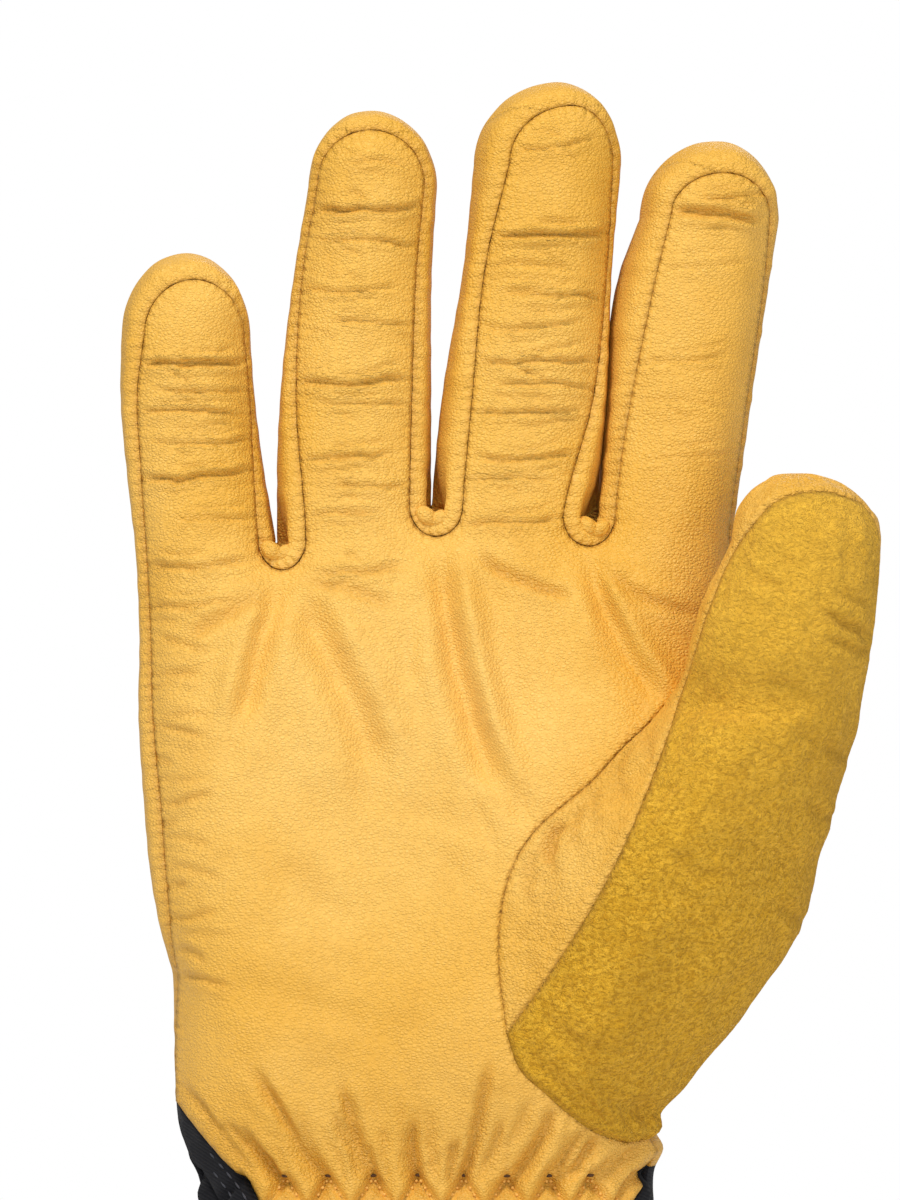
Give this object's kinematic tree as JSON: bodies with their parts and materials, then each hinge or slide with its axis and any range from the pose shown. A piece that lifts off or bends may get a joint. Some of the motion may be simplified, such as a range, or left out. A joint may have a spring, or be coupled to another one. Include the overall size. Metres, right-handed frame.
{
  "type": "leather work glove",
  "caption": "Right-hand leather work glove, filled out as if worn, with a napped thumb pad, side strips between the fingers, a gathered wrist and an open cuff.",
  "frame": {"origin": "middle of the wrist, at the height of its gathering stitch, where a wearer's wrist holds the glove", "axes": "+Z along the fingers to their tips, +X towards the thumb, -Y out of the palm"},
  "size_m": [0.1397, 0.0666, 0.2432],
  "materials": {
    "gold_leather": "smooth golden leather with a fine pebble grain and soft creases",
    "gold_suede": "matt golden suede with a short nap",
    "dark_cloth": "matt black twill",
    "gold_thread": "golden sewing thread",
    "brown_thread": "dark brown elastic zigzag thread"
  },
  "bodies": {
    "root": {"palm": "gold_leather", "back": "gold_leather", "fourchette_little_ring": "gold_leather", "fourchette_ring_middle": "gold_leather", "fourchette_middle_index": "gold_leather", "thumb_pad": "gold_suede", "thumb_back": "gold_leather", "cuff_back": "dark_cloth"}
  },
  "joints": []
}
